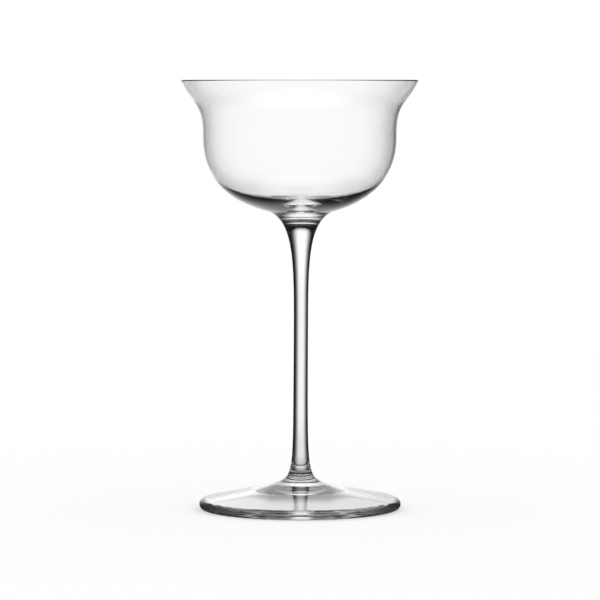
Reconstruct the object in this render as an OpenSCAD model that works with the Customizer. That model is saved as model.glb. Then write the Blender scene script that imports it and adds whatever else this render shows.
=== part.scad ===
// Coupe glass: a wide, shallow bowl with a flared lip, on a slim drawn stem and a round, low-coned foot.
// Three gathers of glass, welded hot: bowl, stem and foot meet face to face in two flat welds.
// Z points up. The origin lies on the axis, in the plane the foot stands on. Sizes are in millimetres.

/* [Bowl] */
// Outside diameter at the rim
rim_diameter = 95.4; // [92:0.2:99]
// Thickness of the rounded rim
rim_thickness = 0.7; // [0.6:0.1:1]
// Lean of the lip from upright, in degrees
lip_lean = 24.4; // [20:0.2:30]
// Outside diameter of the body below the lip
body_diameter = 78.2; // [75:0.2:80]
// Thickness of the body's wall
wall_thickness = 1; // [0.9:0.1:1.4]
// Height of the bowl, from the weld to the rim
bowl_height = 53; // [52:0.5:56]
// Height of the rim above the widest part of the body
lip_height = 22.3; // [20.5:0.1:23.5]
// Depth of the inside, from the rim to the bottom
inside_depth = 51; // [49:0.1:51.4]
// Slope of the bowl's underside where the stem is welded on, in degrees
underside_slope = 14.4; // [13:0.2:16]
// Diameter of the weld between the bowl and the stem
bowl_weld_diameter = 25; // [22:0.5:27]

/* [Stem] */
// Length of the stem between its two welds
stem_length = 105.8; // [90:0.2:120]
// Diameter of the stem at its thinnest
stem_diameter = 5.8; // [5:0.1:7]
// Height of the thinnest part above the foot weld
waist_height = 55.6; // [50:0.2:60]
// Lean of the flared top where it meets the bowl, in degrees
flare_lean = 63; // [55:1:66]

/* [Foot] */
// Outside diameter of the foot
foot_diameter = 81.3; // [78:0.1:84]
// Height of the foot, from the table to the weld
foot_height = 14.2; // [13.4:0.1:15]
// Thickness of the rounded edge
edge_thickness = 4.1; // [3.6:0.1:4.4]
// Slope of the foot's upper face, in degrees
foot_slope = 12.2; // [11.4:0.1:12.6]
// Diameter of the weld between the stem and the foot
foot_weld_diameter = 10; // [9:0.1:11]
// Lean of the stem's end and of the foot's neck at their weld, in degrees
neck_lean = 20.8; // [17:0.2:25]
// Width of the flat ring the glass stands on
stand_ring = 1.2; // [0.6:0.2:3]
// Slope of the hollow's sides under the foot, in degrees
hollow_slope = 13.2; // [11:0.2:14]
// Radius of the hollow's domed middle
hollow_middle = 19; // [17:0.5:23]
// Rise of the hollow's middle above the top of its sloped sides
middle_rise = 1.5; // [0.2:0.1:2]

/* [Hidden] */
$fn = 128;
glass_tint = [0.86, 0.93, 0.95];
// Number of straight steps that stand for each curve of an outline
curve_steps = 24;

rim_r = rim_thickness / 2;
body_r = body_diameter / 2;
bowl_weld_r = bowl_weld_diameter / 2;
foot_weld_r = foot_weld_diameter / 2;
edge_r = edge_thickness / 2;

bowl_weld_z = foot_height + stem_length;
rim_z = bowl_weld_z + bowl_height;
belly_z = rim_z - lip_height;
inside_z = rim_z - inside_depth;

// Lengths of the curve handles, as shares of the stretch that each curve spans
lip_pull = 0.535 * lip_height;
belly_pull_up = 0.656 * lip_height;
belly_pull_down = 0.595 * (belly_z - bowl_weld_z);
underside_pull = 0.58 * (body_r - bowl_weld_r);
inner_pull_down = 0.58 * (belly_z - inside_z);
inner_bottom_pull = 0.76 * body_r;
flare_pull = 0.22 * (stem_length - waist_height);
waist_pull_up = 0.58 * (stem_length - waist_height);
waist_pull_down = 0.84 * waist_height;
neck_pull = 0.1 * waist_height;
fillet_pull_down = 0.22 * foot_height;
fillet_pull_out = 0.28 * foot_height;
middle_start_pull = 0.05 * hollow_middle;
middle_pull = 0.53 * hollow_middle;

// Place where the neck's fillet runs out into the foot's upper face
cone_top_r = 15;
// Centres of the rounded rim and of the foot's rounded edge
rim_centre = [rim_diameter / 2 - rim_r, rim_z - rim_r];
edge_centre = [foot_diameter / 2 - edge_r, edge_r];
// Tangent point of the edge and the foot's upper face, then the place up that face at cone_top_r
edge_top = edge_centre + edge_r * [sin(foot_slope), cos(foot_slope)];
cone_top = [cone_top_r, edge_top[1] + (edge_top[0] - cone_top_r) * tan(foot_slope)];
hollow_edge = [edge_centre[0] - stand_ring, 0];
// Top of the hollow's sloped sides, and the middle above it
middle_edge = [hollow_middle, (hollow_edge[0] - hollow_middle) * tan(hollow_slope)];
middle_top = [0, middle_edge[1] + middle_rise];

// Point at share t of the cubic curve from a to d, pulled towards b and c on its way
function curve_point(a, b, c, d, t) =
    pow(1 - t, 3) * a + 3 * pow(1 - t, 2) * t * b + 3 * (1 - t) * t * t * c + pow(t, 3) * d;
function curve(a, b, c, d) =
    [for (i = [0:curve_steps]) curve_point(a, b, c, d, i / curve_steps)];
// Arc about a centre, from one angle to another
function arc(centre, r, from, to) =
    [for (i = [0:curve_steps]) let (a = from + (to - from) * i / curve_steps)
        centre + r * [cos(a), sin(a)]];

// Directions down along the lip, down along the stem's flared top, and down along the foot's neck
lip_down = [-sin(lip_lean), -cos(lip_lean)];
flare_down = [-sin(flare_lean), -cos(flare_lean)];
neck_down = [sin(neck_lean), -cos(neck_lean)];
// Directions out along the bowl's underside, up along the foot's upper face, and from the stand ring inwards
underside_out = [cos(underside_slope), sin(underside_slope)];
face_up = [-cos(foot_slope), sin(foot_slope)];
hollow_in = [-cos(hollow_slope), sin(hollow_slope)];

lip_outer = rim_centre + rim_r * [cos(lip_lean), -sin(lip_lean)];
lip_inner = rim_centre + rim_r * [-cos(lip_lean), sin(lip_lean)];
belly_outer = [body_r, belly_z];
belly_inner = [body_r - wall_thickness, belly_z];
bowl_weld_edge = [bowl_weld_r, bowl_weld_z];
foot_weld_edge = [foot_weld_r, foot_height];
waist = [stem_diameter / 2, foot_height + waist_height];
bottom_inner = [0, inside_z];

module lathe(outline)
    color(glass_tint) rotate_extrude() polygon(outline);

// Inside from the bottom up to the lip, over the rim, and down the outside to the weld
module bowl()
    lathe(concat(
        curve(bottom_inner, bottom_inner + [inner_bottom_pull, 0],
            belly_inner - [0, inner_pull_down], belly_inner),
        curve(belly_inner, belly_inner + [0, belly_pull_up],
            lip_inner + lip_pull * lip_down, lip_inner),
        arc(rim_centre, rim_r, 180 - lip_lean, -lip_lean),
        curve(lip_outer, lip_outer + lip_pull * lip_down,
            belly_outer + [0, belly_pull_up], belly_outer),
        curve(belly_outer, belly_outer - [0, belly_pull_down],
            bowl_weld_edge + underside_pull * underside_out, bowl_weld_edge),
        [[0, bowl_weld_z]]));

// Flared top, waist, and the end that widens again to the foot's neck
module stem()
    lathe(concat(
        [[0, bowl_weld_z]],
        curve(bowl_weld_edge, bowl_weld_edge + flare_pull * flare_down,
            waist + [0, waist_pull_up], waist),
        curve(waist, waist - [0, waist_pull_down],
            foot_weld_edge - neck_pull * neck_down, foot_weld_edge),
        [[0, foot_height]]));

// Neck and fillet, sloped upper face, rounded edge, stand ring, and the hollow's slope and domed middle
module foot()
    lathe(concat(
        [[0, foot_height]],
        curve(foot_weld_edge, foot_weld_edge + fillet_pull_down * neck_down,
            cone_top + fillet_pull_out * face_up, cone_top),
        arc(edge_centre, edge_r, 90 - foot_slope, -90),
        [hollow_edge],
        curve(middle_edge, middle_edge + middle_start_pull * hollow_in,
            middle_top + [middle_pull, 0], middle_top)));

bowl();
stem();
foot();
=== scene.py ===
import math

import bpy
import numpy as np
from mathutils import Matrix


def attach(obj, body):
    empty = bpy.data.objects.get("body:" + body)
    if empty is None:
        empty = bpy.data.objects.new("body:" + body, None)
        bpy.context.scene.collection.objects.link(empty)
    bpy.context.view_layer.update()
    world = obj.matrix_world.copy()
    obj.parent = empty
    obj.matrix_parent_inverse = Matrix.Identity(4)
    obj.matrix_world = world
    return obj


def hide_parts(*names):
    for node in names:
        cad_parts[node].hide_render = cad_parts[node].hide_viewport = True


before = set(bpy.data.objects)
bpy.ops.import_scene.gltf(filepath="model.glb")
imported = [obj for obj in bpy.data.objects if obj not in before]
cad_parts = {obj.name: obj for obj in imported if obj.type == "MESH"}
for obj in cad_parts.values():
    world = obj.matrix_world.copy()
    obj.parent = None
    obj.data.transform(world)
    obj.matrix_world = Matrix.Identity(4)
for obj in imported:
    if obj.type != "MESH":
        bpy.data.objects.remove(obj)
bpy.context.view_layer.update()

MM = 0.001

# Bowl, in millimetres and degrees, as in the part's source
RIM_DIAMETER = 95.4
RIM_THICKNESS = 0.7
LIP_LEAN = 24.4
BODY_DIAMETER = 78.2
WALL_THICKNESS = 1.0
BOWL_HEIGHT = 53.0
LIP_HEIGHT = 22.3
INSIDE_DEPTH = 51.0
UNDERSIDE_SLOPE = 14.4
BOWL_WELD_DIAMETER = 25.0
# Pulls of the bowl's curves, as shares of the stretch that each one spans
LIP_PULL = 0.535
BELLY_PULL_UP = 0.656
BELLY_PULL_DOWN = 0.595
UNDERSIDE_PULL = 0.58
INSIDE_PULL_DOWN = 0.58
INSIDE_BOTTOM_PULL = 0.76

# Stem
STEM_LENGTH = 105.8
STEM_DIAMETER = 5.8
WAIST_HEIGHT = 55.6
FLARE_LEAN = 63.0
# Pulls of the stem's curves, as shares of its length above or below the waist
FLARE_PULL = 0.22
WAIST_PULL_UP = 0.58
WAIST_PULL_DOWN = 0.84
STEM_END_PULL = 0.1

# Foot
FOOT_DIAMETER = 81.3
FOOT_HEIGHT = 14.2
EDGE_THICKNESS = 4.1
FOOT_SLOPE = 12.2
FOOT_WELD_DIAMETER = 10.0
NECK_LEAN = 20.8
STAND_RING = 1.2
HOLLOW_SLOPE = 13.2
HOLLOW_MIDDLE_RADIUS = 19.0
HOLLOW_MIDDLE_RISE = 1.5
CONE_TOP_RADIUS = 15.0
# Pulls of the foot's curves: the neck's and the fillet's as shares of its height, the hollow's as shares of
# its middle's radius
NECK_PULL = 0.22
FILLET_PULL = 0.28
MIDDLE_START_PULL = 0.05
MIDDLE_PULL = 0.53

# Steps to the right of the axis in millimetres, where the pieces were set on by hand, each with the heights
# that it is taken between: from foot to stem, up the stem, and from stem to bowl
SET_OVER = ((0.18, 9.0, 15.0), (0.22, 27.0, 90.0), (-0.56, 119.5, 125.5))

# Points round each turned piece, and steps along each curve, arc and straight face of an outline
AROUND = 384
CURVE_STEPS = 56
ARC_STEPS = 24
FACE_STEPS = 30

BOWL_WELD_Z = FOOT_HEIGHT + STEM_LENGTH
RIM_Z = BOWL_WELD_Z + BOWL_HEIGHT
BELLY_Z = RIM_Z - LIP_HEIGHT
INSIDE_Z = RIM_Z - INSIDE_DEPTH


def curve(start, pull_start, pull_end, end):
    """Cubic curve from start to end, pulled towards the two points between."""
    t = np.linspace(0.0, 1.0, CURVE_STEPS + 1)[:, None]
    a, b, c, d = (np.array(p, float) for p in (start, pull_start, pull_end, end))
    return (1 - t) ** 3 * a + 3 * (1 - t) ** 2 * t * b + 3 * (1 - t) * t * t * c + t ** 3 * d


def arc(centre, radius, from_angle, to_angle):
    """Arc about a centre, angles in degrees."""
    angle = np.radians(np.linspace(from_angle, to_angle, ARC_STEPS + 1))
    return np.array(centre) + radius * np.stack([np.cos(angle), np.sin(angle)], 1)


def lean(degrees):
    """Direction that leans by this angle from level, outwards and up."""
    return np.array([math.cos(math.radians(degrees)), math.sin(math.radians(degrees))])


def smooth_step(low, high, value):
    """Rises from 0 at low to 1 at high."""
    share = np.clip((value - low) / (high - low), 0.0, 1.0)
    return share * share * (3 - 2 * share)


def set_over(z):
    """How far to the right of the axis the glass stands at this height."""
    return sum(step * smooth_step(low, high, z) for step, low, high in SET_OVER)


def bowl_outline():
    """Inside from the bottom up to the lip, over the rim, and down the outside to the weld."""
    rim_r = RIM_THICKNESS / 2
    body_r = BODY_DIAMETER / 2
    rim_centre = np.array([RIM_DIAMETER / 2 - rim_r, RIM_Z - rim_r])
    lip_side = lean(-LIP_LEAN)
    lip_down = -lean(90 - LIP_LEAN)
    lip_outer = rim_centre + rim_r * lip_side
    lip_inner = rim_centre - rim_r * lip_side
    lip_pull = LIP_PULL * LIP_HEIGHT * lip_down
    belly_up = np.array([0.0, BELLY_PULL_UP * LIP_HEIGHT])
    belly_outer = np.array([body_r, BELLY_Z])
    belly_inner = np.array([body_r - WALL_THICKNESS, BELLY_Z])
    bottom = np.array([0.0, INSIDE_Z])
    weld_edge = np.array([BOWL_WELD_DIAMETER / 2, BOWL_WELD_Z])
    inner_down = np.array([0.0, INSIDE_PULL_DOWN * (BELLY_Z - INSIDE_Z)])
    outer_down = np.array([0.0, BELLY_PULL_DOWN * (BELLY_Z - BOWL_WELD_Z)])
    underside_pull = UNDERSIDE_PULL * (body_r - weld_edge[0]) * lean(UNDERSIDE_SLOPE)
    return np.vstack([
        curve(bottom, bottom + [INSIDE_BOTTOM_PULL * body_r, 0.0], belly_inner - inner_down, belly_inner),
        curve(belly_inner, belly_inner + belly_up, lip_inner + lip_pull, lip_inner)[1:],
        arc(rim_centre, rim_r, 180 - LIP_LEAN, -LIP_LEAN)[1:],
        curve(lip_outer, lip_outer + lip_pull, belly_outer + belly_up, belly_outer)[1:],
        curve(belly_outer, belly_outer - outer_down, weld_edge + underside_pull, weld_edge)[1:],
        [[0.0, BOWL_WELD_Z]],
    ])


def stem_outline():
    """Flared top, waist, and the end that widens again to the foot's neck."""
    up = STEM_LENGTH - WAIST_HEIGHT
    top_edge = np.array([BOWL_WELD_DIAMETER / 2, BOWL_WELD_Z])
    waist = np.array([STEM_DIAMETER / 2, FOOT_HEIGHT + WAIST_HEIGHT])
    neck_edge = np.array([FOOT_WELD_DIAMETER / 2, FOOT_HEIGHT])
    flare_pull = -FLARE_PULL * up * lean(90 - FLARE_LEAN)
    neck_pull = STEM_END_PULL * WAIST_HEIGHT * lean(NECK_LEAN - 90)
    return np.vstack([
        [[0.0, BOWL_WELD_Z]],
        curve(top_edge, top_edge + flare_pull, waist + [0.0, WAIST_PULL_UP * up], waist),
        curve(waist, waist - [0.0, WAIST_PULL_DOWN * WAIST_HEIGHT], neck_edge - neck_pull, neck_edge)[1:],
        [[0.0, FOOT_HEIGHT]],
    ])


def foot_outline():
    """Neck and fillet, sloped upper face, rounded edge, stand ring, and hollow with a domed middle."""
    edge_r = EDGE_THICKNESS / 2
    edge_centre = np.array([FOOT_DIAMETER / 2 - edge_r, edge_r])
    edge_top = edge_centre + edge_r * lean(90 - FOOT_SLOPE)
    slope = math.tan(math.radians(FOOT_SLOPE))
    cone_top = np.array([CONE_TOP_RADIUS, edge_top[1] + (edge_top[0] - CONE_TOP_RADIUS) * slope])
    neck_edge = np.array([FOOT_WELD_DIAMETER / 2, FOOT_HEIGHT])
    hollow_in = lean(180 - HOLLOW_SLOPE)
    hollow_edge = np.array([edge_centre[0] - STAND_RING, 0.0])
    hollow_run = (hollow_edge[0] - HOLLOW_MIDDLE_RADIUS) / math.cos(math.radians(HOLLOW_SLOPE))
    middle_edge = hollow_edge + hollow_run * hollow_in
    middle = np.array([0.0, middle_edge[1] + HOLLOW_MIDDLE_RISE])
    return np.vstack([
        [[0.0, FOOT_HEIGHT]],
        curve(neck_edge, neck_edge + NECK_PULL * FOOT_HEIGHT * lean(NECK_LEAN - 90),
              cone_top + FILLET_PULL * FOOT_HEIGHT * lean(180 - FOOT_SLOPE), cone_top),
        np.linspace(cone_top, edge_top, FACE_STEPS)[1:],
        arc(edge_centre, edge_r, 90 - FOOT_SLOPE, -90)[1:],
        np.linspace(hollow_edge, middle_edge, FACE_STEPS),
        curve(middle_edge, middle_edge + MIDDLE_START_PULL * HOLLOW_MIDDLE_RADIUS * hollow_in,
              middle + [MIDDLE_PULL * HOLLOW_MIDDLE_RADIUS, 0.0], middle)[1:],
    ])


def turned(name, outline, finish, welds):
    """Closed piece turned about the axis from its outline; welds names the ends of it that are fused."""
    outline = np.array(outline)
    aside = set_over(outline[:, 1:]) * MM
    outline = outline * MM
    rings = outline[1:-1]
    angle = np.linspace(0.0, 2 * math.pi, AROUND, endpoint=False)
    x = np.outer(rings[:, 0], np.cos(angle)) + aside[1:-1]
    y = np.outer(rings[:, 0], np.sin(angle))
    z = np.repeat(rings[:, 1:], AROUND, 1)
    points = np.stack([x, y, z], -1).reshape(-1, 3)
    points = np.vstack([points, [aside[0, 0], 0.0, outline[0, 1]], [aside[-1, 0], 0.0, outline[-1, 1]]])
    first_pole, last_pole = len(points) - 2, len(points) - 1
    last_ring = (len(rings) - 1) * AROUND
    here = np.arange(AROUND)
    after = (here + 1) % AROUND
    faces = []
    for ring in range(len(rings) - 1):
        a, b = ring * AROUND, (ring + 1) * AROUND
        faces += np.stack([a + here, b + here, b + after, a + after], 1).tolist()
    side_faces = len(faces)
    faces += [[first_pole, int(i), int(k)] for i, k in zip(here, after)]
    faces += [[last_pole, int(last_ring + k), int(last_ring + i)] for i, k in zip(here, after)]
    mesh = bpy.data.meshes.new(name)
    mesh.from_pydata(points.tolist(), [], faces)
    mesh.shade_smooth()
    mesh.materials.append(finish)
    mesh.materials.append(hot_weld)
    slots = np.zeros(len(faces), np.int32)
    if "first" in welds:
        slots[side_faces:side_faces + AROUND] = 1
    if "last" in welds:
        slots[side_faces + AROUND:] = 1
    mesh.polygons.foreach_set("material_index", slots)
    # A weld's rim stays sharp, so that the weld doesn't round the shading of the skin beside it
    weld_rims = mesh.attributes.new("sharp_edge", "BOOLEAN", "EDGE")
    ends = np.zeros(len(mesh.edges) * 2, np.int32)
    mesh.edges.foreach_get("vertices", ends)
    ends = ends.reshape(-1, 2)
    sharp = np.zeros(len(mesh.edges), bool)
    if "first" in welds:
        sharp |= (ends < AROUND).all(1)
    if "last" in welds:
        sharp |= ((ends >= last_ring) & (ends < last_ring + AROUND)).all(1)
    weld_rims.data.foreach_set("value", sharp)
    mesh.validate()
    mesh.update()
    piece = bpy.data.objects.new(name, mesh)
    bpy.context.scene.collection.objects.link(piece)
    return piece


def linear(code):
    """Linear colour of an sRGB hex code."""
    parts = [int(code[i:i + 2], 16) / 255 for i in (1, 3, 5)]
    return [c / 12.92 if c <= 0.04045 else ((c + 0.055) / 1.055) ** 2.4 for c in parts] + [1.0]


def node(tree, kind, inputs=None, **settings):
    """Adds a node: settings are its properties, inputs are values or other nodes' outputs by socket."""
    made = tree.nodes.new(kind)
    for key, value in settings.items():
        setattr(made, key, value)
    for socket, value in (inputs or {}).items():
        if isinstance(value, bpy.types.NodeSocket):
            tree.links.new(value, made.inputs[socket])
        else:
            made.inputs[socket].default_value = value
    return made


def new_material(name):
    """An empty node material."""
    material = bpy.data.materials.new(name)
    material.use_nodes = True
    material.node_tree.nodes.clear()
    return material


# Index of refraction of clear table glass
GLASS_INDEX = 1.5


def fire_polished(name, ripple_mm, stretch, depth_mm):
    """Clear crystal whose skin ran smooth in the fire: no grain, only a slow ripple that bends the view."""
    material = new_material(name)
    tree = material.node_tree
    place = node(tree, "ShaderNodeTexCoord")
    run = node(tree, "ShaderNodeMapping", {"Vector": place.outputs["Object"], "Scale": stretch})
    ripple = node(tree, "ShaderNodeTexNoise", {
        "Vector": run.outputs["Vector"], "Scale": 1 / (ripple_mm * MM), "Detail": 1.0, "Roughness": 0.4})
    skin = node(tree, "ShaderNodeBump", {
        "Height": ripple.outputs["Fac"], "Strength": 1.0, "Distance": depth_mm * MM})
    glass = node(tree, "ShaderNodeBsdfPrincipled", {
        "Base Color": linear("#FFFFFF"), "Roughness": 0.0, "IOR": GLASS_INDEX, "Transmission Weight": 1.0,
        "Normal": skin.outputs["Normal"]})
    node(tree, "ShaderNodeOutputMaterial", {"Surface": glass.outputs["BSDF"]})
    return material


# Blown in a wet mould and turned there: the ripple lies in low level bands
mouth_blown_crystal = fire_polished("mouth_blown_crystal", 9.0, (0.5, 0.5, 1.0), 0.0015)
# Pulled out from its gather: the ripple is drawn long, down the stem
drawn_crystal = fire_polished("drawn_crystal", 3.0, (1.0, 1.0, 0.05), 0.0008)
# Spun and pressed flat with a wet paddle: a broader, slower ripple
spun_crystal = fire_polished("spun_crystal", 7.0, (1.0, 1.0, 1.0), 0.0015)

# Two gathers run into one at a weld, so light crosses it unbent and nothing of it shows
hot_weld = new_material("hot_weld")
fused = node(hot_weld.node_tree, "ShaderNodeBsdfTransparent")
node(hot_weld.node_tree, "ShaderNodeOutputMaterial", {"Surface": fused.outputs["BSDF"]})

bowl = turned("blown_bowl", bowl_outline(), mouth_blown_crystal, {"last"})
stem = turned("drawn_stem", stem_outline(), drawn_crystal, {"first", "last"})
foot = turned("spun_foot", foot_outline(), spun_crystal, {"first"})
for piece, cad_node in ((bowl, "bowl"), (stem, "stem"), (foot, "foot")):
    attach(piece, "root")
    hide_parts(cad_node)

# Camera level with the rim, about eight glass heights away, tipped down to the middle of the glass
CAMERA_DISTANCE = 1.45
CAMERA_HEIGHT = 0.173
CAMERA_TIP = 3.4945
SENSOR_WIDTH = 36.0
LENS_LENGTH = 216.352
long_lens = bpy.data.cameras.new("camera")
long_lens.sensor_width = SENSOR_WIDTH
long_lens.lens = LENS_LENGTH
camera = bpy.data.objects.new("camera", long_lens)
bpy.context.scene.collection.objects.link(camera)
camera.location = (0.0, -CAMERA_DISTANCE, CAMERA_HEIGHT)
camera.rotation_euler = (math.radians(90 - CAMERA_TIP), 0.0, 0.0)
bpy.context.scene.camera = camera

# Light set: a white panel behind the glass that fades softly to the sides, in a dim room, and a glowing
# sheet
# for the table that carries painted light: the panel's shine, a painted pool of light under the foot where
# it lets light through, and painted shadow behind the foot and neck. Clear glass shows only what stands
# round it, so the set is what draws its dark edges. It keeps opposite the camera, as it does when a glass
# is turned on a turntable.
# Sizes are in metres, and a level of 1 is white.
TENT_RADIUS = 0.36
TENT_HEIGHT = 0.65
# Level of the panel at the table and from the height of the bowl up, the heights between which it rises,
# and the height at which it starts to fade. It is over white at the bowl, whose four surfaces dim it.
PANEL_LOW_LEVEL = 1.0
PANEL_LEVEL = 1.13
PANEL_BRIGHTENS = (0.05, 0.13)
PANEL_FADE_FROM = 0.2
# Degrees to either side, seen from the glass, at which the panel starts to fade, and the fade's softness
PANEL_LEFT = (9.5, 12.3)
PANEL_RIGHT = (4.5, 11.5)
# Faint spill of the panel round the tent, and the degrees that it spreads over
SPILL_LEVEL = 0.02
SPILL_SPREAD = 35.0
ROOM_LEVEL = 0.01
# Depth of the table's glowing sheet under the foot
TABLE_DEPTH = 0.0005
# Painted shine of the panel on the table straight behind the glass, by distance from its axis; it is nil
# out to the first place, a painted shadow just behind the foot's edge
SHINE_PLACES = (0.05, 0.062, 0.12, 0.2, TENT_RADIUS)
SHINE_LEVELS = (0.0, 0.6, 0.85, 0.85, PANEL_LOW_LEVEL)
# Dim table all round
TABLE_LEVEL = 0.02
# Light that the foot lets through to the table under it: level, reach, and where it dies out behind the
# neck. The neck's shade has this half-width, and past it falls back by this many metres a metre.
UNDER_FOOT_LEVEL = 0.63
UNDER_FOOT_REACH = (0.034, 0.039)
NECK_SHADE = (-0.016, 0.016)
NECK_SHADE_HALF_WIDTH = 0.012
NECK_SHADE_CLOSES = 3.0
# Seen steeply, the sheet glows white: painted light that stands for the lit white table. At a low angle
# only its glow stays, a painted reflection of the dim room in the table's gloss. Sines of the angle to the
# table, and distances from the axis, between which the painted white comes up
STEEP_WHITE = (0.8, 0.97)
STEEP_WHITE_PLACES = (0.012, 0.024)
# Points round and up the tent, how far they crowd together straight behind the glass, and the rings of
# points on the table: close together near the glass, and wider apart beyond
TENT_POINTS = 241
TENT_ROWS = 70
TENT_CROWDING = 1.6
NEAR_RINGS = (0.0, 0.12, 121)
FAR_RINGS = (0.125, TENT_RADIUS, 60)

light_set = bpy.data.objects.new("light_set", None)
bpy.context.scene.collection.objects.link(light_set)
turn = light_set.constraints.new("LOCKED_TRACK")
turn.target = camera
turn.track_axis = "TRACK_NEGATIVE_Y"
turn.lock_axis = "LOCK_Z"


def panel_share(angle):
    """Share of the panel's level at this angle to the right of straight behind the glass, in degrees."""
    left = np.maximum(-angle - PANEL_LEFT[0], 0.0) / PANEL_LEFT[1]
    right = np.maximum(angle - PANEL_RIGHT[0], 0.0) / PANEL_RIGHT[1]
    return np.exp(-0.5 * np.where(angle < 0, left, right) ** 2)


def glowing_sheet(name, x, y, z, level, steep_white):
    """Sheet that only glass sees, with its glow at each point and the share of white when seen steeply."""
    rows, columns = x.shape
    points = np.stack([x, y, z], -1).reshape(-1, 3)
    row, column = np.meshgrid(np.arange(rows - 1), np.arange(columns - 1), indexing="ij")
    a = (row * columns + column).ravel()
    mesh = bpy.data.meshes.new(name)
    mesh.from_pydata(points.tolist(), [], np.stack([a, a + 1, a + columns + 1, a + columns], 1).tolist())
    for label, values in (("glow", level), ("steep_white", steep_white)):
        at_points = mesh.attributes.new(label, "FLOAT", "POINT")
        at_points.data.foreach_set("value", values.ravel().astype(np.float32))
    material = new_material(name)
    tree = material.node_tree
    amount = node(tree, "ShaderNodeAttribute", attribute_name="glow")
    white = node(tree, "ShaderNodeAttribute", attribute_name="steep_white")
    level_view = node(tree, "ShaderNodeLayerWeight", {"Blend": 0.5})
    steep_view = node(tree, "ShaderNodeMapRange", {
        "Value": level_view.outputs["Facing"],
        "From Min": 1 - STEEP_WHITE[0], "From Max": 1 - STEEP_WHITE[1]})
    # Painted light: the table's sheet glows white where it is seen steeply
    steep_painted_light = node(tree, "ShaderNodeMath", {
        0: white.outputs["Fac"], 1: steep_view.outputs["Result"]}, operation="MULTIPLY")
    seen = node(tree, "ShaderNodeMath", {
        0: amount.outputs["Fac"], 1: steep_painted_light.outputs["Value"]}, operation="MAXIMUM")
    # Light on its way to the floor finds the sheet white, like the world
    path = node(tree, "ShaderNodeLightPath")
    strength = node(tree, "ShaderNodeMath", {
        0: seen.outputs["Value"], 1: path.outputs["Diffuse Depth"]}, operation="MAXIMUM")
    shine = node(tree, "ShaderNodeEmission", {"Strength": strength.outputs["Value"]})
    node(tree, "ShaderNodeOutputMaterial", {"Surface": shine.outputs["Emission"]})
    material.cycles.emission_sampling = "NONE"
    mesh.materials.append(material)
    sheet = bpy.data.objects.new(name, mesh)
    bpy.context.scene.collection.objects.link(sheet)
    sheet.parent = light_set
    sheet.visible_camera = False
    sheet.visible_diffuse = False
    sheet.visible_shadow = False


# Angles round the glass, closest together straight behind it
share = np.linspace(-1.0, 1.0, TENT_POINTS)
tent_angles = np.sign(share) * np.abs(share) ** TENT_CROWDING * 180

# The panel, and the dim room round the rest of the tent
angle, z = np.meshgrid(tent_angles, np.linspace(-TABLE_DEPTH, TENT_HEIGHT, TENT_ROWS))
panel = panel_share(angle)
spill = SPILL_LEVEL * np.exp(-0.5 * (angle / SPILL_SPREAD) ** 2)
level = PANEL_LOW_LEVEL + (PANEL_LEVEL - PANEL_LOW_LEVEL) * smooth_step(*PANEL_BRIGHTENS, z)
wall = (level * panel + spill * (1 - panel)) * (1 - smooth_step(PANEL_FADE_FROM, TENT_HEIGHT, z))
x = TENT_RADIUS * np.sin(np.radians(angle))
y = TENT_RADIUS * np.cos(np.radians(angle))
glowing_sheet("light_panel", x, y, z, np.maximum(wall, ROOM_LEVEL), np.zeros_like(x))

# The table: painted shine behind the glass with painted shadow just behind the foot, dim all round, and
# painted light under the foot
rings = np.concatenate([np.linspace(*NEAR_RINGS), np.linspace(*FAR_RINGS)])
angle, distance = np.meshgrid(tent_angles, rings)
x = distance * np.sin(np.radians(angle))
y = distance * np.cos(np.radians(angle))
shine = np.interp(y, SHINE_PLACES, SHINE_LEVELS) * panel_share(angle)
behind = y - NECK_SHADE_CLOSES * np.maximum(np.abs(x) - NECK_SHADE_HALF_WIDTH, 0.0)
under_foot = (UNDER_FOOT_LEVEL * (1 - smooth_step(*UNDER_FOOT_REACH, distance))
              * (1 - smooth_step(*NECK_SHADE, behind)))
glowing_sheet("table_shine", x, y, np.full_like(x, -TABLE_DEPTH),
              np.maximum(np.maximum(shine, TABLE_LEVEL), under_foot),
              smooth_step(*STEEP_WHITE_PLACES, distance))

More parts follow.
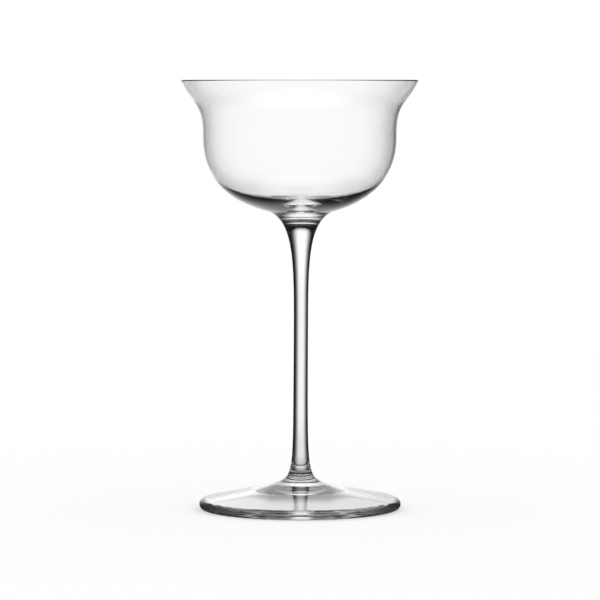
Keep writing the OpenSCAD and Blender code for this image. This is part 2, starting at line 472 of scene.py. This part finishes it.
# World: soft white light all round and a white background; glass sees the light set in a dim room instead
world = bpy.data.worlds.new("studio")
bpy.context.scene.world = world
world.use_nodes = True
world.node_tree.nodes.clear()
path = node(world.node_tree, "ShaderNodeLightPath")
by_glass = node(world.node_tree, "ShaderNodeMath", {
    0: path.outputs["Is Glossy Ray"], 1: path.outputs["Is Transmission Ray"]}, operation="MAXIMUM")
glass_view = node(world.node_tree, "ShaderNodeMath", {
    0: by_glass.outputs["Value"], 1: path.outputs["Diffuse Depth"]}, operation="SUBTRACT", use_clamp=True)
strength = node(world.node_tree, "ShaderNodeMapRange", {
    "Value": glass_view.outputs["Value"], "To Min": 1.0, "To Max": ROOM_LEVEL})
surround = node(world.node_tree, "ShaderNodeBackground", {
    "Color": linear("#FFFFFF"), "Strength": strength.outputs["Result"]})
node(world.node_tree, "ShaderNodeOutputWorld", {"Surface": surround.outputs["Background"]})

# Floor: a round white table top, a hair below the foot's ring so that the two don't share a plane
FLOOR_RADIUS = 1.6
FLOOR_POINTS = 96
FLOOR_GAP = 0.00005
white_table = new_material("white_lacquered_table")
paint = node(white_table.node_tree, "ShaderNodeBsdfDiffuse", {"Color": linear("#FFFFFF")})
node(white_table.node_tree, "ShaderNodeOutputMaterial", {"Surface": paint.outputs["BSDF"]})
floor_angles = np.linspace(0.0, 2 * math.pi, FLOOR_POINTS, endpoint=False)
floor_rim = [(FLOOR_RADIUS * math.cos(a), FLOOR_RADIUS * math.sin(a), -FLOOR_GAP) for a in floor_angles]
floor_mesh = bpy.data.meshes.new("table_top")
floor_mesh.from_pydata(floor_rim, [], [list(range(FLOOR_POINTS))])
floor_mesh.materials.append(white_table)
floor = bpy.data.objects.new("table_top", floor_mesh)
bpy.context.scene.collection.objects.link(floor)
floor.visible_glossy = False
floor.visible_transmission = False

# Light crosses many surfaces of clear glass before it comes out
LIGHT_BOUNCES = 32
scene = bpy.context.scene
scene.view_settings.view_transform = "Standard"
scene.cycles.max_bounces = LIGHT_BOUNCES
scene.cycles.transmission_bounces = LIGHT_BOUNCES
scene.cycles.glossy_bounces = LIGHT_BOUNCES
